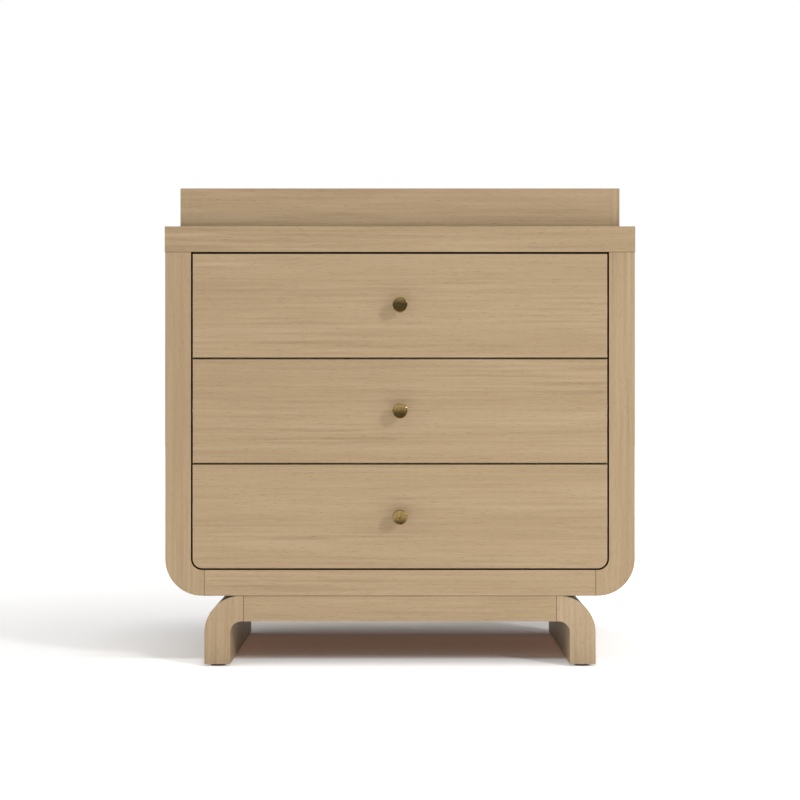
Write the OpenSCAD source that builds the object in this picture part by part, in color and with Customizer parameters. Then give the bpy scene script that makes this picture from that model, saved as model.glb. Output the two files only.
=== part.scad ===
// Three-drawer nursery dresser with a lift-off changing tray.
// Millimetres. +Z up, the front faces -Y, +X is to the viewer's right.
// The origin is on the floor, at the middle of the overall box.

/* [Case] */
// Width over the two side panels
case_w = 912.8; // [700:0.1:1200]
// Depth of the case, from its front edge to its back edge
case_d = 490; // [470:1:600]
// Height of the case without its base
case_h = 718; // [690:1:900]
// Thickness of the top, the sides and the bottom
frame_t = 50; // [40:1:60]
// How far the top is wider than the case on each side
top_overhang = 0.8; // [0:0.1:10]
// Outer radius of the bent lower corners of the case and of the bent leg panels
bend_r = 72; // [66:1:90]
// Straight tail of a bent corner, up to its joint
tail = 4.2; // [2:0.1:12]
// Thickness of the back panel
back_t = 6; // [4:0.5:10]
// Width of the rabbet that holds the back panel
rabbet = 10; // [6:1:14]
// Height of the hidden rails between the drawers
divider_h = 18; // [12:1:20]
// Depth of the hidden rails between the drawers
divider_d = 60; // [30:1:90]

/* [Base] */
// Width over the two leg panels
base_w = 761; // [600:1:850]
// Height of the base, glides included
base_h = 137.5; // [125:0.5:200]
// Depth of the base's front and back rails
base_rail_d = 45; // [35:1:60]
// How far the base stands back from the case's front and back
base_inset = 2; // [0:1:20]
// Length of a corner block along each of the two pieces it joins
block_side = 60; // [50:1:80]
// Diameter of a foot glide
glide_dia = 29; // [20:1:36]
// Height of a foot glide below its leg panel
glide_h = 4.5; // [3:0.5:8]

/* [Drawers] */
// Gap around every drawer front
gap = 3.5; // [2:0.1:5]
// Thickness of a drawer front
front_t = 20; // [16:1:24]
// Height of a drawer box
box_h = 150; // [120:1:155]
// Depth of a drawer box behind its front
box_d = 430; // [410:1:440]
// Thickness of the drawer box's walls
wall_t = 12; // [10:0.5:15]
// Thickness of a drawer's bottom panel
bottom_t = 6; // [4:0.5:8]
// Height of a drawer box above the lower edge of its front
box_lift = 24; // [22:1:28]

/* [Knobs] */
// Diameter of a knob's face
knob_dia = 29.4; // [24:0.1:36]
// How far a knob stands out
knob_l = 29; // [24:1:34]
// Thickness of a knob's head
knob_head_t = 7; // [5:0.5:9]
// Radius of the knob's rim
knob_rim_r = 1.2; // [0.5:0.1:2]
// Radius of the shallow dish in the face
knob_dish_r = 185; // [120:5:400]

/* [Slides] */
// Length of a drawer slide
slide_l = 400; // [350:50:400]
// Height of a drawer slide
slide_h = 45; // [40:1:50]
// Thickness of a closed slide
slide_t = 12.7; // [12.5:0.1:13]
// Sheet thickness of the slide members
gauge = 1.2; // [1:0.1:1.5]

/* [Changing tray] */
// Width over the tray's side rails
tray_w = 860; // [680:1:900]
// Height of the tray's rails
tray_h = 77; // [60:1:120]
// Thickness of the tray's rails
tray_t = 18; // [15:1:22]
// How far the tray stands back from the front of the top
tray_reveal = 27; // [15:1:40]
// Thickness of the tray's bottom panel
panel_t = 8; // [7:0.5:9]
// Thickness of the tongue around the tray's bottom panel
tongue_t = 4; // [3:0.5:4]

/* [Fasteners] */
// Diameter of a dowel
dowel_dia = 8; // [6:1:10]
// Length of a dowel
dowel_l = 40; // [30:1:40]
// Width of a tray bracket
bracket_w = 36; // [30:1:50]
// Height of a tray bracket
bracket_h = 60; // [54:1:70]
// Thickness of a tray bracket
bracket_t = 2; // [1.5:0.5:3]
// Distance of each tray bracket from the middle
bracket_x = 250; // [150:5:330]
// Distance between the two wall-strap screw holes
strap_spacing = 760; // [600:10:800]
// Radius of a wall-strap screw hole
strap_hole_r = 2; // [1.5:0.1:3]
// Depth of a wall-strap screw hole
strap_hole_l = 30; // [20:1:40]

/* [Hidden] */
$fn = 48;
LEVELS = ["bottom", "middle", "top"];
SIDES = [-1, 1];
CASE_NODES = [
    "top_panel", "left_side_panel", "right_side_panel", "bottom_panel", "back_panel",
    "upper_divider_rail", "lower_divider_rail", "cabinet_slide_members", "slide_screws",
    "tray_retaining_screws", "dowels"
];
BASE_NODES = [
    "left_leg_panel", "right_leg_panel", "base_front_rail", "base_back_rail",
    "corner_blocks", "base_bolts", "foot_glides"
];
TRAY_NODES = [
    "tray_front_rail", "tray_back_rail", "tray_left_rail", "tray_right_rail",
    "tray_bottom_panel", "tray_brackets", "tray_bracket_screws"
];
DRAWER_PIECES = [
    "front", "box_front", "left_side", "right_side", "back", "bottom",
    "knob", "knob_screw", "slide_members"
];

// Clearances
fit = 0.02;         // a dowel or screw in its own hole
groove_fit = 0.1;   // a panel in its groove
slip_fit = 0.3;     // pieces that slide past each other
eps = 1;            // overrun of a cut past a face

// Depth positions: the box runs from the knobs to the tray's retaining screw heads
retainer_head_t = 2.8;
rear_proj = 2 * slip_fit + bracket_t + retainer_head_t;
front_y = knob_l - (knob_l + case_d + rear_proj) / 2;
back_y = front_y + case_d;

// Heights
opening_z = base_h + frame_t;
slab_z = base_h + case_h - frame_t;
slab_top = base_h + case_h;
opening_w = case_w - 2 * frame_t;
opening_h = slab_z - opening_z;
inner_bend_r = bend_r - frame_t;
case_bend_x = case_w / 2 - bend_r;
case_bend_z = base_h + bend_r;

// Base
leg_bend_x = base_w / 2 - bend_r;
leg_bend_z = base_h - bend_r;
leg_mid_x = (base_w - frame_t) / 2;
base_front_y = front_y + base_inset;
base_back_y = back_y - base_inset;
front_rail_y = base_front_y;
back_rail_y = base_back_y - base_rail_d;
rail_joint_x = leg_bend_x - tail;
rail_z = base_h - frame_t;
block_h = 40;
glide_stem_r = 3;
glide_stem_l = 14;
bolt_r = 3;
bolt_hole_r = 3.3;
bolt_head_r = 5.5;
bolt_head_t = 4;
bolt_grip = 35;

// Dowels
dowel_r = dowel_dia / 2;
case_dowel_ys = [for (i = [0:3]) front_y + 60 + i * (case_d - 120) / 3];
base_dowel_dz = 12;

// Drawers
front_w = opening_w - 2 * gap;
front_h = (opening_h - (len(LEVELS) + 1) * gap) / len(LEVELS);
pitch = front_h + gap;
box_w = opening_w - 2 * slide_t;
box_y = front_y + front_t;
groove_d = 6;
bottom_rise = 10;
inner_w = box_w - 2 * wall_t;
divider_y = box_y + 2;

// Knobs
knob_stem_l = knob_l - knob_head_t;
knob_rose_r = 9;
knob_rose_t = 2.5;
knob_waist_r = 5.5;
knob_cove_r = 12;
knob_screw_r = 2;
knob_screw_grip = 12;
screw_play = 0.3;
pan_head_r = 4;
pan_head_t = 2.4;

// Slides: three nested channels, measured from the cabinet wall
slide_y = box_y + 4;
middle_web_x = 4.2;
cabinet_lip_x = 7;
middle_lip_x = 10.5;
drawer_lip_x = 6.5;
member_step = 3;
slide_screw_r = 2;
slide_screw_l = 16;
slide_screw_head_r = 3.8;
slide_screw_head_t = 1.6;
slide_screw_ys = [slide_y + 37, slide_y + slide_l - 69];

// Tray
tray_y = front_y + tray_reveal;
tray_back_y = back_y + slip_fit;
tray_in_x = tray_w / 2 - tray_t;
tray_in_y = tray_y + tray_t;
tray_in_d = tray_back_y - tray_y - 2 * tray_t;
tongue_d = 5.5;
tongue_z = slab_top + (panel_t - tongue_t) / 2;

// Tray brackets
bracket_z = slab_top - bracket_h / 2;
retainer_z = slab_top - 17;
retainer_r = 2.5;
retainer_slot_r = 2.7;
retainer_head_r = 5;
retainer_grip = 25;
bracket_screw_dx = 10;
bracket_screw_z = slab_top + 18;
bracket_screw_r = 1.75;
bracket_screw_head_r = 3.4;
bracket_screw_head_t = 2;
bracket_screw_grip = 14;

// ---- Helpers ----

// An x-z outline made solid along +y
module along_y(y, depth) {
    translate([0, y + depth, 0]) rotate([90, 0, 0]) linear_extrude(depth) children();
}

// A round bar along +y
module bar_y(r, x, y, z, l) {
    translate([x, y, z]) rotate([-90, 0, 0]) cylinder(r = r, h = l);
}

// A round bar along +x
module bar_x(r, x, y, z, l) {
    translate([x, y, z]) rotate([0, 90, 0]) cylinder(r = r, h = l);
}

// The children on the right, and mirrored on the left
module both_sides() {
    for (flip = [0, 1]) mirror([flip, 0, 0]) children();
}

// One child on the right (side 1) or on the left (side -1)
module on_side(side) {
    mirror([side < 0 ? 1 : 0, 0, 0]) children();
}

// Quarter bend about the origin with a straight limb upward and a short tail
module j_outline(limb) {
    difference() {
        intersection() {
            circle(r = bend_r);
            translate([0, -bend_r]) square(bend_r);
        }
        circle(r = inner_bend_r);
    }
    translate([inner_bend_r, 0]) square([frame_t, limb]);
    translate([-tail, -bend_r]) square([tail, frame_t]);
}

// The drawer opening, grown by g: square above, round at its two lower corners
module opening_outline(g = 0) {
    r = inner_bend_r + g;
    half_w = opening_w / 2 + g;
    difference() {
        translate([-half_w, opening_z - g]) square([2 * half_w, opening_h + 2 * g]);
        for (side = SIDES) translate([side * (half_w - r / 2), opening_z - g + r / 2])
            square(r, center = true);
    }
    for (side = SIDES) intersection() {
        translate([side * (half_w - r), opening_z - g + r]) circle(r = r);
        translate([side * (half_w - r / 2), opening_z - g + r / 2]) square(r, center = true);
    }
}

// The rabbet for the back panel, cut from the back of the case
module back_rabbet() {
    along_y(back_y - back_t, back_t + eps) opening_outline(rabbet);
}

// Pan-head screw along +y: head at y, shank behind it
module pan_screw(shank_r, grip, head_r, head_t) {
    rotate([-90, 0, 0]) {
        difference() {
            cylinder(r = head_r, h = head_t);
            for (turn = [0, 90]) rotate(turn)
                translate([-head_r / 2, -0.5, -eps]) cube([head_r, 1, eps + head_t / 2]);
        }
        translate([0, 0, head_t]) cylinder(r = shank_r, h = grip);
    }
}

// ---- Dowels ----

// Where the case's dowels go: sides to top, and bent corners to the bottom
module case_dowels(r) {
    both_sides() for (y = case_dowel_ys) {
        translate([(case_w - frame_t) / 2, y, slab_z - dowel_l / 2])
            cylinder(r = r, h = dowel_l);
        bar_x(r, case_bend_x - tail - dowel_l / 2, y, base_h + frame_t / 2, dowel_l);
    }
}

// Where the base's dowels go: the ends of both rails to the leg panels
module base_dowels(r) {
    both_sides()
        for (dz = [-base_dowel_dz, base_dowel_dz])
            for (y = [front_rail_y, back_rail_y])
                bar_x(r, rail_joint_x - dowel_l / 2, y + base_rail_d / 2,
                    base_h - frame_t / 2 + dz, dowel_l);
}

module dowels() {
    color("burlywood") {
        case_dowels(dowel_r - fit);
        base_dowels(dowel_r - fit);
    }
}

// ---- Case ----

module top_panel() {
    color("tan") difference() {
        translate([-case_w / 2 - top_overhang, front_y, slab_z])
            cube([case_w + 2 * top_overhang, case_d, frame_t]);
        back_rabbet();
        case_dowels(dowel_r);
        both_sides() {
            bar_y(retainer_r, bracket_x, back_y - retainer_grip, retainer_z,
                retainer_grip + eps);
            bar_y(strap_hole_r, strap_spacing / 2, back_y - strap_hole_l,
                slab_top - frame_t / 2, strap_hole_l + eps);
        }
    }
}

module side_panel(side) {
    color("tan") difference() {
        on_side(side) along_y(front_y, case_d)
            translate([case_bend_x, case_bend_z]) j_outline(slab_z - case_bend_z);
        back_rabbet();
        case_dowels(dowel_r);
        slide_screw_shanks(slide_screw_r);
    }
}

module bottom_panel() {
    color("tan") difference() {
        translate([-case_bend_x + tail, front_y, base_h])
            cube([2 * (case_bend_x - tail), case_d, frame_t]);
        back_rabbet();
        case_dowels(dowel_r);
        at_base_bolts() translate([0, 0, block_h]) cylinder(r = bolt_r, h = bolt_grip);
    }
}

module back_panel() {
    color("wheat") along_y(back_y - back_t, back_t) opening_outline(rabbet - groove_fit);
}

// A hidden rail that ties the sides together below drawer number i
module divider_rail(i) {
    color("tan") translate([-opening_w / 2, divider_y,
            opening_z + i * pitch + gap / 2 - divider_h / 2])
        cube([opening_w, divider_d, divider_h]);
}

// ---- Base ----

// A leg panel runs the whole depth of the base and bends inward below the case
module leg_panel(side) {
    color("tan") difference() {
        on_side(side) along_y(base_front_y, base_back_y - base_front_y)
            translate([leg_bend_x, leg_bend_z]) mirror([0, 1])
                j_outline(leg_bend_z - glide_h);
        base_dowels(dowel_r);
        at_glides() cylinder(r = glide_stem_r, h = glide_h + glide_stem_l);
    }
}

module base_rail(y) {
    color("tan") difference() {
        translate([-rail_joint_x, y, rail_z])
            cube([2 * rail_joint_x, base_rail_d, frame_t]);
        base_dowels(dowel_r);
    }
}

// Places its children at the four inner corners of the base, turned to face inward
module at_base_corners() {
    both_sides() {
        translate([rail_joint_x, front_rail_y + base_rail_d, base_h - block_h]) children();
        translate([rail_joint_x, back_rail_y, base_h - block_h])
            mirror([0, 1, 0]) children();
    }
}

module at_base_bolts() {
    at_base_corners() translate([-block_side / 3, block_side / 3, 0]) children();
}

module corner_blocks() {
    color("burlywood") difference() {
        at_base_corners() linear_extrude(block_h)
            polygon([[0, 0], [-block_side, 0], [0, block_side]]);
        at_base_bolts() translate([0, 0, -eps])
            cylinder(r = bolt_hole_r, h = block_h + 2 * eps);
    }
}

module base_bolts() {
    color("silver") at_base_bolts() {
        difference() {
            translate([0, 0, -bolt_head_t]) cylinder(r = bolt_head_r, h = bolt_head_t);
            translate([0, 0, -bolt_head_t - eps])
                cylinder(r = bolt_r, h = bolt_head_t / 2 + eps, $fn = 6);
        }
        cylinder(r = bolt_r - fit, h = block_h + bolt_grip);
    }
}

module at_glides() {
    both_sides() for (y = [front_rail_y, back_rail_y])
        translate([leg_mid_x, y + base_rail_d / 2, 0]) children();
}

module foot_glides() {
    color("saddlebrown") at_glides() {
        cylinder(r = glide_dia / 2, h = glide_h);
        cylinder(r = glide_stem_r - fit, h = glide_h + glide_stem_l);
    }
}

// ---- Drawer slides ----

// Channel section: web at web_x, lips reaching to lip_x, measured from the wall
module channel(web_x, lip_x, half_h) {
    near = min(web_x, lip_x);
    far = max(web_x + gauge, lip_x);
    translate([web_x, -half_h]) square([gauge, 2 * half_h]);
    for (z = [-half_h, half_h - gauge]) translate([near, z]) square([far - near, gauge]);
}

// A pair of slide members, one on each side of drawer number i
module member_pair(i, web_x, lip_x, step) {
    both_sides() along_y(slide_y, slide_l)
        translate([opening_w / 2, slide_mid_z(i)]) mirror([1, 0])
            channel(web_x, lip_x, slide_h / 2 - step * member_step);
}

function level_z(i) = opening_z + gap + i * pitch;
function slide_mid_z(i) = level_z(i) + box_lift + box_h / 2;

module cabinet_slide_members() {
    color("silver") difference() {
        for (i = [0:2]) member_pair(i, 0, cabinet_lip_x, 0);
        slide_screw_shanks(slide_screw_r + screw_play / 2);
    }
}

module slide_screw_shanks(r) {
    both_sides() for (i = [0:2], y = slide_screw_ys)
        bar_x(r, opening_w / 2 - gauge, y, slide_mid_z(i), gauge + slide_screw_l);
}

module slide_screws() {
    color("silver") {
        slide_screw_shanks(slide_screw_r - fit);
        both_sides() for (i = [0:2], y = slide_screw_ys)
            bar_x(slide_screw_head_r, opening_w / 2 - gauge - slide_screw_head_t, y,
                slide_mid_z(i), slide_screw_head_t);
    }
}

module middle_members(i) {
    color("gainsboro") member_pair(i, middle_web_x, middle_lip_x, 1);
}

module drawer_slide_members(i) {
    color("silver") member_pair(i, slide_t - gauge, drawer_lip_x, 2);
}

// ---- Drawers, number 0 at the bottom ----

module knob_screw_hole(i, r) {
    bar_y(r, 0, box_y - front_t - eps, level_z(i) + front_h / 2,
        front_t + wall_t + 2 * eps);
}

// The bottom drawer's front follows the round corners of the case
module drawer_front(i) {
    color("tan") difference() {
        along_y(front_y, front_t) intersection() {
            opening_outline(-gap);
            translate([-front_w / 2, level_z(i)]) square([front_w, front_h]);
        }
        knob_screw_hole(i, knob_screw_r + screw_play);
    }
}

// The space that the drawer's bottom panel fills, less a clearance c
module bottom_space(i, c) {
    translate([-inner_w / 2 - groove_d + c, box_y + wall_t - groove_d + c,
            level_z(i) + box_lift + bottom_rise])
        cube([inner_w + 2 * (groove_d - c), box_d - 2 * (wall_t - groove_d + c), bottom_t]);
}

module drawer_side(i, side) {
    color("wheat") difference() {
        on_side(side) translate([inner_w / 2, box_y, level_z(i) + box_lift])
            cube([wall_t, box_d, box_h]);
        bottom_space(i, 0);
    }
}

module drawer_end(i, y) {
    color("wheat") difference() {
        translate([-inner_w / 2, y, level_z(i) + box_lift]) cube([inner_w, wall_t, box_h]);
        bottom_space(i, 0);
        knob_screw_hole(i, knob_screw_r + screw_play);
    }
}

module drawer_box_front(i) {
    drawer_end(i, box_y);
}

module drawer_back(i) {
    drawer_end(i, box_y + box_d - wall_t);
}

module drawer_bottom(i) {
    color("wheat") bottom_space(i, groove_fit);
}

// Half outline of a knob: rose, waisted stem and a disc head with a round rim
module knob_outline() {
    square([knob_rose_r, knob_rose_t]);
    difference() {
        square([knob_rose_r, knob_stem_l]);
        translate([knob_waist_r + knob_cove_r, (knob_stem_l + knob_rose_t) / 2])
            circle(r = knob_cove_r);
        translate([knob_waist_r + 2, knob_stem_l - 3]) square([knob_rose_r, 4]);
    }
    translate([0, knob_stem_l]) {
        square([knob_dia / 2 - knob_rim_r, knob_head_t]);
        translate([0, knob_rim_r]) square([knob_dia / 2, knob_head_t - 2 * knob_rim_r]);
        for (h = [knob_rim_r, knob_head_t - knob_rim_r])
            translate([knob_dia / 2 - knob_rim_r, h]) circle(r = knob_rim_r);
    }
}

module drawer_knob(i) {
    dish_depth = (knob_dia / 2 - knob_rim_r) ^ 2 / (2 * knob_dish_r);
    color("darkkhaki") translate([0, front_y, level_z(i) + front_h / 2]) rotate([90, 0, 0])
        difference() {
            rotate_extrude($fn = 96) knob_outline();
            translate([0, 0, knob_l + knob_dish_r - dish_depth])
                sphere(r = knob_dish_r, $fn = 96);
            translate([0, 0, -eps]) cylinder(r = knob_screw_r, h = knob_screw_grip + eps);
        }
}

module drawer_knob_screw(i) {
    color("silver") translate([0, box_y + wall_t + pan_head_t, level_z(i) + front_h / 2])
        rotate([0, 0, 180]) pan_screw(knob_screw_r - fit, wall_t + front_t + knob_screw_grip,
            pan_head_r, pan_head_t);
}

// ---- Changing tray ----

// The groove that runs around the inside of the tray's rails
module tray_groove() {
    translate([-tray_in_x - groove_d, tray_in_y - groove_d, tongue_z - groove_fit])
        cube([2 * (tray_in_x + groove_d), tray_in_d + 2 * groove_d,
            tongue_t + 2 * groove_fit]);
}

// A rail of the tray, from corner [x, y] with size [w, d]
module tray_rail(x, y, w, d) {
    color("tan") difference() {
        translate([x, y, slab_top]) cube([w, d, tray_h]);
        tray_groove();
        at_bracket_screws() bar_y(bracket_screw_r, 0, -bracket_screw_grip, 0,
            bracket_screw_grip + eps);
    }
}

module tray_front_rail() {
    tray_rail(-tray_w / 2, tray_y, tray_w - tray_t, tray_t);
}

module tray_right_rail() {
    tray_rail(tray_in_x, tray_y, tray_t, tray_in_d + tray_t);
}

module tray_back_rail() {
    tray_rail(-tray_in_x, tray_back_y - tray_t, tray_w - tray_t, tray_t);
}

module tray_left_rail() {
    tray_rail(-tray_w / 2, tray_in_y, tray_t, tray_in_d + tray_t);
}

// Flat panel with a tongue all round
module tray_bottom_panel() {
    c = 2 * groove_fit;
    color("wheat") {
        translate([-tray_in_x + c, tray_in_y + c, slab_top])
            cube([2 * (tray_in_x - c), tray_in_d - 2 * c, panel_t]);
        translate([-tray_in_x - tongue_d, tray_in_y - tongue_d, tongue_z])
            cube([2 * (tray_in_x + tongue_d), tray_in_d + 2 * tongue_d, tongue_t]);
    }
}

// Places its children at the tray's back face, on the axes of the bracket screws
module at_bracket_screws() {
    both_sides() for (dx = [-bracket_screw_dx, bracket_screw_dx])
        translate([bracket_x + dx, tray_back_y, bracket_screw_z]) children();
}

// Plate outline with round corners, from its lower left corner
module round_plate(w, h, r) {
    translate([r, 0]) square([w - 2 * r, h]);
    translate([0, r]) square([w, h - 2 * r]);
    for (x = [r, w - r], z = [r, h - r]) translate([x, z]) circle(r = r);
}

// Steel plates whose open slots drop over the retaining screws
module tray_brackets() {
    color("silver") difference() {
        both_sides() along_y(tray_back_y, bracket_t) difference() {
            translate([bracket_x - bracket_w / 2, bracket_z])
                round_plate(bracket_w, bracket_h, 4);
            translate([bracket_x - retainer_slot_r, bracket_z - eps])
                square([2 * retainer_slot_r, retainer_z - bracket_z + eps]);
            translate([bracket_x, retainer_z]) circle(r = retainer_slot_r);
        }
        at_bracket_screws() bar_y(bracket_screw_r + screw_play / 2, 0, -eps, 0,
            bracket_t + 2 * eps);
    }
}

module tray_bracket_screws() {
    color("silver") at_bracket_screws()
        translate([0, bracket_t + bracket_screw_head_t, 0]) rotate([0, 0, 180])
            pan_screw(bracket_screw_r - fit, bracket_t + bracket_screw_grip,
                bracket_screw_head_r, bracket_screw_head_t);
}

module tray_retaining_screws() {
    shank = back_y + rear_proj - retainer_head_t;
    color("silver") both_sides()
        translate([bracket_x, shank + retainer_head_t, retainer_z]) rotate([0, 0, 180])
            pan_screw(retainer_r - fit, shank - back_y + retainer_grip,
                retainer_head_r, retainer_head_t);
}

// ---- Nodes ----

top_panel();
side_panel(-1);  // left_side_panel
side_panel(1);  // right_side_panel
bottom_panel();
back_panel();
divider_rail(2);  // upper_divider_rail
divider_rail(1);  // lower_divider_rail
cabinet_slide_members();
slide_screws();
tray_retaining_screws();
dowels();

leg_panel(-1);  // left_leg_panel
leg_panel(1);  // right_leg_panel
base_rail(front_rail_y);  // base_front_rail
base_rail(back_rail_y);  // base_back_rail
corner_blocks();
base_bolts();
foot_glides();

tray_front_rail();
tray_back_rail();
tray_left_rail();
tray_right_rail();
tray_bottom_panel();
tray_brackets();
tray_bracket_screws();

for (i = [0:2]) {
    drawer = str(LEVELS[i], "_drawer_");
    drawer_front(i);
    drawer_box_front(i);
    drawer_side(i, -1);
    drawer_side(i, 1);
    drawer_back(i);
    drawer_bottom(i);
    drawer_knob(i);
    drawer_knob_screw(i);
    drawer_slide_members(i);
    middle_members(i);
}
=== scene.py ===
"""The looks of the nursery dresser and its changing tray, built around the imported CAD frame.

Every CAD node stays where it is. Its edges are eased by modifiers, and its material is a
procedural one in the row frame's own metres, so the grain runs at its real size.
"""
import math
import random

import bpy
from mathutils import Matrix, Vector


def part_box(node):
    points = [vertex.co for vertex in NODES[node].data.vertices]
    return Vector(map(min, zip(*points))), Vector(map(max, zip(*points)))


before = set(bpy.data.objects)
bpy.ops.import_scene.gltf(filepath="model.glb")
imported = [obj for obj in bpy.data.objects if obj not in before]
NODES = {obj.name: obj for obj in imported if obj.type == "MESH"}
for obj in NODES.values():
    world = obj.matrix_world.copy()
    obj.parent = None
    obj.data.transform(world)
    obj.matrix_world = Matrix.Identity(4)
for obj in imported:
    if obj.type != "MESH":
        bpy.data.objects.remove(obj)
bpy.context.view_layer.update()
LEVELS = ("bottom", "middle", "top")

# Colours are linear RGB.
OAK_DARK = (0.236, 0.165, 0.093)
OAK_MID = (0.287, 0.206, 0.120)
OAK_LIGHT = (0.328, 0.243, 0.149)
# Dark glue lines at the joints, which also carry painted shade of the joints' grooves.
SEAM_GLUE_AND_SHADE = (0.060, 0.034, 0.016)
BIRCH_DARK = (0.56, 0.42, 0.27)
BIRCH_MID = (0.66, 0.52, 0.36)
BIRCH_LIGHT = (0.72, 0.59, 0.43)
BEECH_DARK = (0.42, 0.28, 0.17)
BEECH_MID = (0.52, 0.36, 0.23)
BEECH_LIGHT = (0.60, 0.44, 0.30)
BRASS = (0.265, 0.180, 0.070)
BRASS_DARK = (0.190, 0.126, 0.046)
BRASS_SPECK = (0.160, 0.105, 0.045)
ZINC = (0.60, 0.61, 0.63)
ZINC_DARK = (0.47, 0.49, 0.52)
GLIDE_BROWN = (0.040, 0.025, 0.018)
GLIDE_SCUFF = (0.085, 0.062, 0.048)
FLOOR_WHITE = (0.92, 0.915, 0.91)

# Three tones of a wood, from its dark grain to its light grain. The right leg panel has a paler
# copy of the oak: painted light where the key lamp falls on that side.
OAK = (OAK_DARK, OAK_MID, OAK_LIGHT)
PAINTED_LIGHT_OAK = tuple(tuple(c * k for c, k in zip(tone, (1.10, 1.13, 1.20))) for tone in OAK)
BEECH = (BEECH_DARK, BEECH_MID, BEECH_LIGHT)
# Painted shade on the faces inside the gaps round the drawer fronts: how much of the wood's colour
# it lets through.
GAP_SHADE = (0.50, 0.37, 0.27)

# How far bands, streaks and lines of grain move a wood's tone, and how dark its pores are.
BAND_TONE, STREAK_TONE, LINE_TONE = 0.55, 1.05, 0.32
PORE_TONE = 0.34

# The outer radius of the bent corners, half the width of a glue line, and a layer of birch ply.
BEND_R = 0.072
SEAM_HALF_W = 0.00025
BIRCH_LAYER_T = 0.0014

# The floor glows into a white studio sweep: (metres from the base, glow there).
SWEEP = ((0.0, 0.0), (0.30, 0.20), (0.8, 0.26), (2.6, 0.60))
# Extra glow in front of the case, and close beside and in front of the leg panels.
POOL_GLOW = 0.85
LEFT_GLOW, RIGHT_GLOW, FRONT_GLOW = 0.20, 0.42, 0.20
# Glow under the base, which stands in for light from the wood, and the warm tint close behind it,
# painted bounce light from the wood too. Close behind the base the glow is also dimmed.
UNDER_BROWN = (0.084, 0.044, 0.029)
REAR_BOUNCE_TINT = (1.30, 1.10, 0.92)
REAR_DIM_RIGHT, REAR_DIM_LEFT = 0.95, 0.40
# The front glow starts this far behind the base's front, and the sweep this far past its back.
FRONT_INSET, REAR_GAP = 0.10, 0.05
# Each edge of the glow, in metres, from the place with none of it to the place with all of it.
FRONT_EDGE, SIDE_FADE = (-0.02, 0.01), 0.02
POOL_NEAR, POOL_FAR, POOL_SIDES = (0.10, 0.30), (1.4, 0.9), (1.2, 0.7)
UNDER_FRONT, UNDER_BACK, UNDER_SIDE_FADE = (0.03, -0.04), (0.10, -0.08), 0.05
REAR_NEAR, REAR_FAR, REAR_SIDES = (0.0, 0.15), (0.90, 0.45), (0.46, 0.38)
DIM_RIGHT, DIM_LEFT = (0.02, 0.30), (-0.22, -0.38)


# ---- Node graph helpers ----

class Graph:
    """A node tree with short calls: a value given to an input is a number, a tuple or a socket."""

    def __init__(self, tree):
        self.tree = tree
        tree.nodes.clear()

    def add(self, kind, inputs=None, **settings):
        node = self.tree.nodes.new(kind)
        for key, value in settings.items():
            setattr(node, key, value)
        for key, value in (inputs or {}).items():
            self.plug(node.inputs[key], value)
        return node

    def plug(self, socket, value):
        if isinstance(value, bpy.types.NodeSocket):
            self.tree.links.new(value, socket)
        elif isinstance(value, tuple) and len(value) == 3 and socket.type == "RGBA":
            socket.default_value = (*value, 1.0)
        else:
            socket.default_value = value

    def math(self, operation, a, b=0.0, clamp=False):
        node = self.add("ShaderNodeMath", {0: a, 1: b}, operation=operation, use_clamp=clamp)
        return node.outputs[0]

    def plus(self, first, *others):
        for other in others:
            first = self.math("ADD", first, other)
        return first

    def minus(self, a, b):
        return self.math("SUBTRACT", a, b)

    def times(self, first, *others):
        for other in others:
            first = self.math("MULTIPLY", first, other)
        return first

    def absolute(self, value):
        return self.math("ABSOLUTE", value)

    def shift(self, vector, by):
        node = self.add("ShaderNodeVectorMath", {0: vector, 1: by}, operation="ADD")
        return node.outputs[0]

    def split(self, vector):
        return self.add("ShaderNodeSeparateXYZ", {0: vector}).outputs

    def join(self, x, y, z):
        return self.add("ShaderNodeCombineXYZ", {0: x, 1: y, 2: z}).outputs[0]

    def noise(self, vector, scale, detail=2.0, roughness=0.5):
        node = self.add("ShaderNodeTexNoise", {"Vector": vector, "Scale": scale,
                        "Detail": detail, "Roughness": roughness})
        return node.outputs["Fac"]

    def remap(self, value, low, high, to_low=0.0, to_high=1.0):
        node = self.add("ShaderNodeMapRange", {"Value": value, "From Min": low,
                        "From Max": high, "To Min": to_low, "To Max": to_high})
        return node.outputs["Result"]

    def blend(self, factor, a, b, kind="MIX"):
        node = self.add("ShaderNodeMix", data_type="RGBA", blend_type=kind, clamp_factor=True)
        self.plug(node.inputs["Factor"], factor)
        self.plug(node.inputs[6], a)
        self.plug(node.inputs[7], b)
        return node.outputs[2]

    def choose(self, factor, a, b):
        node = self.add("ShaderNodeMix", data_type="VECTOR", clamp_factor=True)
        self.plug(node.inputs["Factor"], factor)
        self.plug(node.inputs[4], a)
        self.plug(node.inputs[5], b)
        return node.outputs[1]

    def ramp(self, factor, stops):
        node = self.add("ShaderNodeValToRGB", {"Fac": factor})
        elements = node.color_ramp.elements
        elements[0].position, elements[-1].position = stops[0][0], stops[-1][0]
        for place, _ in stops[1:-1]:
            elements.new(place)
        for element, (_, colour) in zip(elements, stops):
            element.color = (*colour, 1.0)
        return node.outputs["Color"]

    def bump(self, height, depth, strength):
        node = self.add("ShaderNodeBump", {"Height": height, "Distance": depth,
                        "Strength": strength})
        return node.outputs["Normal"]


def new_material(name):
    material = bpy.data.materials.new(name)
    material.use_nodes = True
    return material, Graph(material.node_tree)


def surface(g, **inputs):
    """Ends a material in a Principled shader. Input names have _ for a space."""
    shader = g.add("ShaderNodeBsdfPrincipled")
    for key, value in inputs.items():
        g.plug(shader.inputs[key.replace("_", " ")], value)
    g.add("ShaderNodeOutputMaterial", {"Surface": shader.outputs[0]})


# ---- Wood ----

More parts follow.
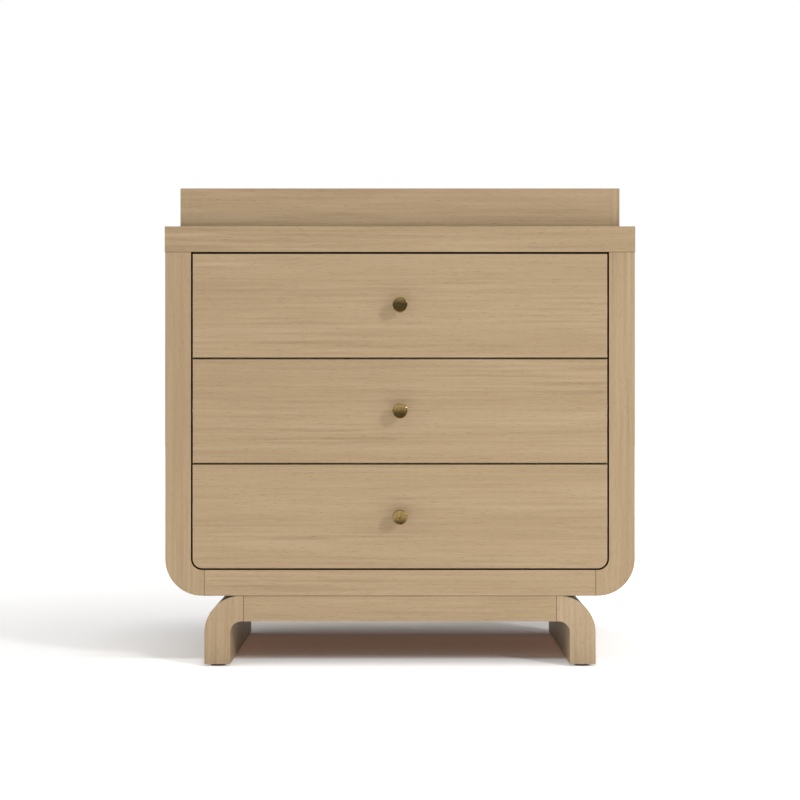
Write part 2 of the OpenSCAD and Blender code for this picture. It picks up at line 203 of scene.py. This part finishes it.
def grain_space(g, along, seed, bend=None):
    """Coordinates in metres with x along the grain, which runs along the board on its faces.

    An end face gets grain across it, as edge veneer has. bend is the centre (x, z) of a bent
    corner on the +x side and the way that its limb leaves it, +1 for up and -1 for down: on
    its curved surface the grain follows the bend.
    """
    rng = random.Random(seed)
    shift = tuple(rng.uniform(-20.0, 20.0) for _ in range(3))
    texture = g.add("ShaderNodeTexCoord")
    x, y, z = g.split(texture.outputs["Object"])
    normal_x, normal_y, normal_z = g.split(texture.outputs["Normal"])
    orders = {"x": (x, y, z), "y": (y, z, x), "z": (z, x, y)}
    if bend:
        centre_x, centre_z, limb = bend
        dx = g.minus(g.absolute(x), centre_x)
        dz = g.times(g.minus(z, centre_z), limb)
        angle = g.math("ARCTAN2", g.times(dz, -1.0), dx)
        ring = g.math("SQRT", g.plus(g.times(dx, dx), g.times(dz, dz)))
        in_bend = g.math("LESS_THAN", dz, 0.0)
        in_limb = g.minus(1.0, in_bend)
        run = g.plus(g.times(in_bend, angle, -BEND_R), g.times(in_limb, dz))
        radial = g.plus(g.times(in_bend, ring), g.times(in_limb, dx))
        facing_front = g.math("GREATER_THAN", g.absolute(normal_y), 0.7)
        space = g.choose(facing_front, g.join(run, radial, y), g.join(*orders["z"]))
    else:
        end_along = {"x": "y", "y": "z", "z": "x"}[along]
        end_normal = {"x": normal_x, "y": normal_y, "z": normal_z}[along]
        on_end = g.math("GREATER_THAN", g.absolute(end_normal), 0.8)
        space = g.choose(on_end, g.join(*orders[along]), g.join(*orders[end_along]))
    return g.shift(space, shift)


def grain_values(g, space):
    """Broad bands, long streaks, fine lines and pores, each from 0 to 1."""
    run, across, deep = g.split(space)
    sway_at = g.join(g.times(run, 1.3), g.times(across, 5.0), g.times(deep, 5.0))
    sway = g.minus(g.noise(sway_at, 1.0, 2.0), 0.5)
    ripple_at = g.join(g.times(run, 9.0), g.times(across, 18.0), deep)
    ripple = g.minus(g.noise(ripple_at, 1.0, 1.0), 0.5)
    across = g.plus(across, g.plus(g.times(sway, 0.030), g.times(ripple, 0.0035)))

    def layer(along_scale, across_scale, detail, roughness=0.5):
        at = g.join(g.times(run, along_scale), g.times(across, across_scale),
                    g.times(deep, across_scale))
        return g.noise(at, 1.0, detail, roughness)

    bands = layer(0.9, 24.0, 2.0)
    patches = g.remap(layer(2.4, 14.0, 1.0), 0.35, 0.65, 0.55, 1.45)
    streaks = g.plus(g.times(g.minus(layer(3.2, 150.0, 3.0, 0.55), 0.5), patches), 0.5)
    lines = layer(7.0, 520.0, 2.0)
    pores = g.remap(layer(60.0, 1500.0, 1.0), 0.60, 0.74)
    return bands, streaks, lines, pores


def seam_shade(g, seams):
    """1 on the dark glue lines, which also hold painted shade of the joints' grooves, 0 away from
    them. A seam is (axis, distance from the middle).
    """
    places = dict(zip("xyz", g.split(g.add("ShaderNodeTexCoord").outputs["Object"])))
    shade = 0.0
    for axis, place in seams:
        off = g.absolute(g.minus(g.absolute(places[axis]), place))
        shade = g.math("MAXIMUM", shade, g.remap(off, SEAM_HALF_W, 3.0 * SEAM_HALF_W, 1.0, 0.0))
    return shade


def gap_faces(g):
    """1 on the faces beside the gaps round the drawer fronts, down to the fronts' backs: where the
    painted gap shade goes.
    """
    low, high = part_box("bottom_drawer_front")[0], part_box("top_drawer_front")[1]
    reach, past_back = 0.0045, 0.002
    texture = g.add("ShaderNodeTexCoord")
    x, y, z = g.split(texture.outputs["Object"])
    facing_front = g.absolute(g.split(texture.outputs["Normal"])[1])
    shade = g.remap(facing_front, 0.15, 0.5, 1.0, 0.0)
    for value, limit in ((g.absolute(x), high.x + reach), (y, high.y + past_back),
                         (z, high.z + reach), (g.times(z, -1.0), reach - low.z)):
        shade = g.times(shade, g.math("LESS_THAN", value, limit))
    return shade


def wood(name, along, seed, colours, bend=None, seams=(), gap_shaded=False):
    """Lacquered wood with its grain along an axis, or round a bend."""
    dark, mid, light = colours
    material, g = new_material(name)
    bands, streaks, lines, pores = grain_values(g, grain_space(g, along, seed, bend))
    tone = g.plus(g.times(g.minus(bands, 0.5), BAND_TONE),
                  g.times(g.minus(streaks, 0.5), STREAK_TONE),
                  g.times(g.minus(lines, 0.5), LINE_TONE))
    tone = g.math("ADD", tone, 0.5, clamp=True)
    colour = g.ramp(tone, ((0.12, dark), (0.5, mid), (0.9, light)))
    colour = g.blend(g.times(pores, PORE_TONE), colour, dark, "MULTIPLY")
    # Dark glue lines at the joints, darkened further as painted shade in the joints' grooves.
    if seams:
        colour = g.blend(seam_shade(g, seams), colour, SEAM_GLUE_AND_SHADE)
    # Painted shade on the faces inside the gaps round the drawer fronts.
    if gap_shaded:
        colour = g.blend(gap_faces(g), colour, GAP_SHADE, "MULTIPLY")
    rough = g.plus(g.times(lines, 0.16), 0.44)
    height = g.minus(g.times(lines, 0.35), pores)
    surface(g, Base_Color=colour, Roughness=rough, Specular_IOR_Level=0.20,
            Normal=g.bump(height, 0.00012, 0.55))
    return material


def plywood(name, along, thick_axis, middle, seed):
    """Birch ply: veneer faces along the grain, and glued layers on its edges."""
    material, g = new_material(name)
    bands, streaks, lines, pores = grain_values(g, grain_space(g, along, seed))
    tone = g.plus(g.times(bands, 0.7), g.times(streaks, 0.3))
    face = g.ramp(tone, ((0.25, BIRCH_DARK), (0.5, BIRCH_MID), (0.75, BIRCH_LIGHT)))
    face = g.blend(g.times(pores, 0.18), face, BIRCH_DARK, "MULTIPLY")
    texture = g.add("ShaderNodeTexCoord")
    places = dict(zip("xyz", g.split(texture.outputs["Object"])))
    normals = dict(zip("xyz", g.split(texture.outputs["Normal"])))
    depth = g.minus(g.absolute(places[thick_axis]), middle)
    phase = g.math("PINGPONG", g.plus(depth, 1.0), BIRCH_LAYER_T)
    layer = g.remap(phase, 0.35 * BIRCH_LAYER_T, 0.65 * BIRCH_LAYER_T)
    grainy = g.noise(texture.outputs["Object"], 900.0, 2.0)
    edge = g.blend(layer, BIRCH_LIGHT, BEECH_DARK)
    edge = g.blend(g.times(grainy, 0.4), edge, BIRCH_DARK, "MULTIPLY")
    on_edge = g.math("LESS_THAN", g.absolute(normals[thick_axis]), 0.7)
    colour = g.blend(on_edge, face, edge)
    height = g.minus(g.times(lines, 0.4), pores)
    surface(g, Base_Color=colour, Roughness=0.55, Specular_IOR_Level=0.3,
            Normal=g.bump(height, 0.0001, 0.5))
    return material


# ---- Metal and plastic ----

def antique_brass():
    material, g = new_material("antique_brass")
    at = g.add("ShaderNodeTexCoord").outputs["Object"]
    cloud = g.noise(at, 240.0, 4.0, 0.6)
    speck = g.remap(g.noise(at, 2600.0, 2.0), 0.58, 0.72)
    colour = g.blend(g.remap(cloud, 0.35, 0.7), BRASS, BRASS_DARK)
    colour = g.blend(g.times(speck, 0.35), colour, BRASS_SPECK)
    rough = g.remap(cloud, 0.3, 0.7, 0.14, 0.22)
    height = g.noise(at, 1400.0, 3.0)
    surface(g, Base_Color=colour, Metallic=1.0, Roughness=rough,
            Normal=g.bump(height, 0.00002, 0.35))
    return material


def zinc_steel():
    material, g = new_material("zinc_steel")
    at = g.add("ShaderNodeTexCoord").outputs["Object"]
    x, y, z = g.split(at)
    rolled_at = g.join(g.times(x, 900.0), g.times(y, 12.0), g.times(z, 900.0))
    rolled = g.noise(rolled_at, 1.0, 3.0)
    spangle = g.noise(at, 160.0, 3.0, 0.6)
    colour = g.blend(g.remap(spangle, 0.35, 0.7), ZINC, ZINC_DARK)
    rough = g.plus(g.remap(rolled, 0.3, 0.7, 0.24, 0.36), g.remap(spangle, 0.3, 0.7, 0.0, 0.08))
    surface(g, Base_Color=colour, Metallic=1.0, Roughness=rough,
            Normal=g.bump(rolled, 0.00003, 0.4))
    return material


def brown_plastic():
    material, g = new_material("brown_plastic")
    at = g.add("ShaderNodeTexCoord").outputs["Object"]
    grit = g.noise(at, 2200.0, 2.0)
    scuff = g.remap(g.noise(at, 300.0, 4.0, 0.7), 0.5, 0.75)
    colour = g.blend(g.times(scuff, 0.5), GLIDE_BROWN, GLIDE_SCUFF)
    surface(g, Base_Color=colour, Roughness=g.remap(grit, 0.3, 0.7, 0.45, 0.6),
            Normal=g.bump(grit, 0.00006, 0.5))
    return material


# ---- Putting materials and eased edges on the CAD nodes ----

def dress(node, material, edge=0.0, segments=3):
    """Gives a CAD node its material, and eases its sharp edges by a bevel of that width."""
    piece = NODES[node]
    piece.data.materials.clear()
    piece.data.materials.append(material)
    if edge:
        weld = piece.modifiers.new("weld", "WELD")
        weld.merge_threshold = 0.00001
        bevel = piece.modifiers.new("eased_edges", "BEVEL")
        bevel.width = edge
        bevel.segments = segments
        bevel.limit_method = "ANGLE"
        bevel.angle_limit = math.radians(35.0)
        normals = piece.modifiers.new("face_normals", "WEIGHTED_NORMAL")
        normals.keep_sharp = False


def dress_case():
    low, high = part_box("right_side_panel")
    bend = (high.x - BEND_R, low.z + BEND_R, 1.0)
    under_top = ("z", high.z)
    above_base = ("z", low.z)
    corner = ("x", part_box("bottom_panel")[1].x)
    top = wood("oak_top", "x", 11, OAK, seams=[under_top], gap_shaded=True)
    dress("top_panel", top, edge=0.0009)
    bottom = wood("oak_bottom", "x", 12, OAK, seams=[corner, above_base], gap_shaded=True)
    dress("bottom_panel", bottom, edge=0.0007)
    for side, seed in (("left", 13), ("right", 14)):
        bent = wood("oak_side_" + side, "z", seed, OAK, bend, [corner, under_top], gap_shaded=True)
        dress(side + "_side_panel", bent, edge=0.0009)
    back_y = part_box("back_panel")[0].y
    dress("back_panel", plywood("ply_back", "z", "y", back_y, 15), edge=0.0004, segments=2)
    for rail in ("upper", "lower"):
        dress(rail + "_divider_rail", wood("beech_" + rail, "x", 16, BEECH), edge=0.0008)


def dress_base():
    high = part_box("right_leg_panel")[1]
    bend = (high.x - BEND_R, high.z - BEND_R, -1.0)
    corner = ("x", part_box("base_front_rail")[1].x)
    # The right leg panel gets the paler oak, painted light from the key lamp's side.
    for side, seed, tones in (("left", 21, OAK), ("right", 22, PAINTED_LIGHT_OAK)):
        bent = wood("oak_leg_" + side, "z", seed, tones, bend, [corner])
        dress(side + "_leg_panel", bent, edge=0.0009)
    for end, seed in (("front", 32), ("back", 34)):
        rail = wood("oak_base_" + end, "x", seed, OAK, seams=[corner])
        dress(f"base_{end}_rail", rail, edge=0.0007)
    dress("corner_blocks", wood("beech_blocks", "x", 41, BEECH), edge=0.0006, segments=2)
    dress("foot_glides", brown_plastic(), edge=0.0008)


def dress_tray():
    sides = (("front", "x"), ("back", "x"), ("left", "y"), ("right", "y"))
    for seed, (side, along) in enumerate(sides, 50):
        dress(f"tray_{side}_rail", wood("oak_tray_" + side, along, seed, OAK), edge=0.0009)
    dress("tray_bottom_panel", wood("oak_tray_bottom", "x", 55, OAK), edge=0.0004, segments=2)


def dress_drawers():
    for number, level in enumerate(LEVELS):
        drawer = level + "_drawer_"
        seed = 60 + 10 * number
        dress(drawer + "front", wood("oak_front_" + level, "x", seed, OAK, gap_shaded=True),
              edge=0.0010)
        low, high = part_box(drawer + "right_side")
        middle = (low.x + high.x) / 2
        sides = plywood("ply_sides_" + level, "y", "x", middle, seed + 1)
        ends = plywood("ply_ends_" + level, "x", "y", 0.0, seed + 2)
        for side in ("left_side", "right_side"):
            dress(drawer + side, sides, edge=0.0006, segments=2)
        for end in ("box_front", "back"):
            dress(drawer + end, ends, edge=0.0006, segments=2)
        dress(drawer + "bottom", plywood("ply_floor_" + level, "x", "z", 0.0, seed + 3))


def dress_hardware():
    brass, steel = antique_brass(), zinc_steel()
    for level in LEVELS:
        dress(level + "_drawer_knob", brass)
        dress(level + "_drawer_knob_screw", steel)
        for members in ("_drawer_slide_members", "_middle_members"):
            dress(level + members, steel, edge=0.0002, segments=1)
    dress("cabinet_slide_members", steel, edge=0.0002, segments=1)
    dress("tray_brackets", steel, edge=0.0003, segments=2)
    for node in ("slide_screws", "tray_retaining_screws", "base_bolts", "tray_bracket_screws"):
        dress(node, steel)
    dress("dowels", wood("beech_dowels", "x", 45, BEECH))


# ---- Stage ----

def floor_glow(g, x, in_front, behind):
    """Glow that grows away from the base, with a pool in front and a step at each leg panel."""
    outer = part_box("right_leg_panel")[1].x
    across = g.absolute(x)
    beyond_x = g.math("MAXIMUM", g.minus(across, outer), 0.0)
    beyond_y = g.math("MAXIMUM", g.math("MAXIMUM", in_front, g.minus(behind, REAR_GAP)), 0.0)
    away = g.math("SQRT", g.plus(g.times(beyond_x, beyond_x), g.times(beyond_y, beyond_y)))
    glow = 0.0
    for (near, near_glow), (far, far_glow) in zip(SWEEP, SWEEP[1:]):
        glow = g.plus(glow, g.remap(away, near, far, 0.0, far_glow - near_glow))
    pool = g.times(g.remap(in_front, *POOL_NEAR), g.remap(in_front, *POOL_FAR),
                   g.remap(across, *POOL_SIDES, 0.0, POOL_GLOW))
    return g.plus(glow, pool, g.remap(in_front, *FRONT_EDGE, 0.0, FRONT_GLOW),
                  g.remap(x, -outer, -outer - SIDE_FADE, 0.0, LEFT_GLOW),
                  g.remap(x, outer, outer + SIDE_FADE, 0.0, RIGHT_GLOW))


def floor_emission(g, x, y):
    """The floor's glow, all painted light: warmer and dimmer close behind the base, and brown
    under it, as bounce light from the wood.
    """
    front_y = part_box("right_leg_panel")[0].y
    outer, back_y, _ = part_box("right_leg_panel")[1]
    across = g.absolute(x)
    in_front = g.minus(front_y + FRONT_INSET, y)
    behind = g.minus(y, back_y)
    rear = g.times(g.remap(behind, *REAR_NEAR), g.remap(behind, *REAR_FAR),
                   g.remap(across, *REAR_SIDES))
    dim = g.plus(g.remap(x, *DIM_RIGHT, 0.0, REAR_DIM_RIGHT),
                 g.remap(x, *DIM_LEFT, 0.0, REAR_DIM_LEFT))
    glow = g.times(floor_glow(g, x, in_front, behind), g.minus(1.0, g.times(rear, dim)))
    under = g.times(g.remap(in_front, *UNDER_FRONT), g.remap(behind, *UNDER_BACK),
                    g.remap(across, outer, outer - UNDER_SIDE_FADE))
    channels = []
    # Painted bounce light from the wood: warm close behind the base, brown under it.
    for tint, brown in zip(REAR_BOUNCE_TINT, UNDER_BROWN):
        tinted = g.times(glow, g.plus(1.0, g.times(rear, tint - 1.0)))
        channels.append(g.plus(tinted, g.times(under, brown)))
    return g.join(*channels)


def build_floor():
    half = 16.0
    mesh = bpy.data.meshes.new("floor")
    corners = [(-half, -half, 0.0), (half, -half, 0.0), (half, half, 0.0), (-half, half, 0.0)]
    mesh.from_pydata(corners, [], [(0, 1, 2, 3)])
    floor = bpy.data.objects.new("floor", mesh)
    bpy.context.scene.collection.objects.link(floor)
    material, g = new_material("floor_white")
    x, y, _ = g.split(g.add("ShaderNodeTexCoord").outputs["Object"])
    surface(g, Base_Color=FLOOR_WHITE, Roughness=0.9, Specular_IOR_Level=0.1,
            Emission_Color=floor_emission(g, x, y), Emission_Strength=1.0)
    mesh.materials.append(material)


def build_world():
    """Light from overhead in front, the sides and low behind, plain white to the camera."""
    horizon, rise, sides, behind, haze = 0.06, 1.15, 1.6, 0.04, 0.8
    world = bpy.data.worlds.new("studio")
    bpy.context.scene.world = world
    world.use_nodes = True
    g = Graph(world.node_tree)
    across, back, up = g.split(g.add("ShaderNodeTexCoord").outputs["Generated"])
    up = g.math("MAXIMUM", up, 0.0)
    overhead = g.times(g.plus(horizon, g.times(up, rise)),
                       g.remap(back, -0.35, 0.15, 1.0, behind))
    beside = g.times(across, across, g.remap(back, -0.10, 0.25, sides, 0.05 * sides))
    low_behind = g.times(g.remap(up, 0.03, 0.15, haze, 0.0), g.remap(back, 0.0, 0.3))
    glow = g.plus(overhead, beside, low_behind)
    light = g.add("ShaderNodeBackground", {"Color": (1.0, 1.0, 1.0), "Strength": glow})
    plain = g.add("ShaderNodeBackground", {"Color": (1.0, 1.0, 1.0), "Strength": 1.0})
    seen = g.add("ShaderNodeLightPath").outputs["Is Camera Ray"]
    mixed = g.add("ShaderNodeMixShader", {0: seen, 1: light.outputs[0], 2: plain.outputs[0]})
    g.add("ShaderNodeOutputWorld", {"Surface": mixed.outputs[0]})


def build_softbox(front_y):
    """A round softbox up to the right of the camera, aimed at the middle of the front."""
    azimuth, elevation, distance = math.radians(43.0), math.radians(23.5), 7.5
    aim_height = 0.45
    away = Vector((math.sin(azimuth) * math.cos(elevation),
                   -math.cos(azimuth) * math.cos(elevation), math.sin(elevation)))
    lamp = bpy.data.lights.new("key", "AREA")
    lamp.shape = "DISK"
    lamp.size = 1.25
    lamp.energy = 222.0
    softbox = bpy.data.objects.new("key", lamp)
    softbox.location = Vector((0.0, front_y, aim_height)) + away * distance
    softbox.rotation_euler = away.to_track_quat("Z", "Y").to_euler()
    bpy.context.scene.collection.objects.link(softbox)


def build_camera(front_y):
    """A level camera on the centre line. view_w is the width it sees in the plane of the front."""
    distance, height, view_w, sensor = 3.4, 0.518, 1.5546, 36.0
    data = bpy.data.cameras.new("camera")
    data.sensor_width = sensor
    data.lens = sensor * distance / view_w
    data.clip_end = 100.0
    camera = bpy.data.objects.new("camera", data)
    camera.location = (0.0, front_y - distance, height)
    camera.rotation_euler = (math.radians(90.0), 0.0, 0.0)
    bpy.context.scene.collection.objects.link(camera)
    bpy.context.scene.camera = camera


dress_case()
dress_base()
dress_tray()
dress_drawers()
dress_hardware()

case_front_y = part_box("right_side_panel")[0].y
build_floor()
build_world()
build_softbox(case_front_y)
build_camera(case_front_y)
bpy.context.scene.view_settings.view_transform = "Standard"
